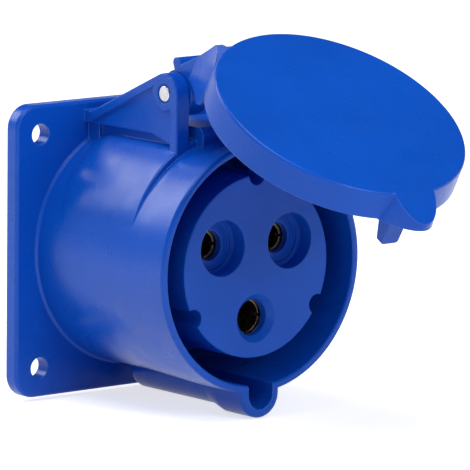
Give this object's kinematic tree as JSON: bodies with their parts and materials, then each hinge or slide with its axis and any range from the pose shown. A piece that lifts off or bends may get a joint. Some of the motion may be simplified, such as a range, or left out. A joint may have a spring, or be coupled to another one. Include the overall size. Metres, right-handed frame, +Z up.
{
  "type": "panel socket",
  "caption": "Round panel socket with a square flange, keyed collar, recessed contact carrier and a sprung hinged lid, shown open.",
  "frame": {"origin": "centre of the flange's rear face, on the socket's axis", "axes": "-Y along the socket's axis, out of its mouth; +Z up, towards the lid's hinge; +X to the right as seen from the front"},
  "size_m": [0.075, 0.1353, 0.0972],
  "materials": {
    "blue_plastic": "satin",
    "blue_insert": "matte",
    "grey_plastic": "matte",
    "seal_rubber": "matte",
    "pin_steel": "polished",
    "spring_steel": "satin",
    "screw_steel": "zinc plated",
    "brass": "satin"
  },
  "bodies": {
    "root": {"flange_housing": "blue_plastic", "contact_carrier": "blue_insert", "terminal_block": "grey_plastic", "clamp_ring": "grey_plastic", "hinge_pin": "pin_steel", "flange_gasket": "seal_rubber", "lid_spring": "spring_steel", "line_contact": "brass", "neutral_contact": "brass", "earth_contact": "brass", "line_ring_spring": "spring_steel", "neutral_ring_spring": "spring_steel", "earth_ring_spring": "spring_steel", "line_terminal_screw": "screw_steel", "neutral_terminal_screw": "screw_steel", "earth_terminal_screw": "screw_steel", "terminal_cover": "grey_plastic", "cover_screw": "screw_steel", "carrier_screw_left": "screw_steel", "carrier_screw_right": "screw_steel"},
    "lid": {"lid": "blue_plastic", "lid_gasket": "seal_rubber"}
  },
  "joints": [
    {"name": "lid_hinge", "type": "hinge", "parent": "root", "child": "lid", "pos_m": [0, -0.0361, 0.0428], "axis": [-1, 0, 0], "range_deg": [-59.6, 45], "stiffness_Nm_per_rad": 0.05, "springref_deg": -120.32, "deforming": ["lid_spring"]}
  ]
}
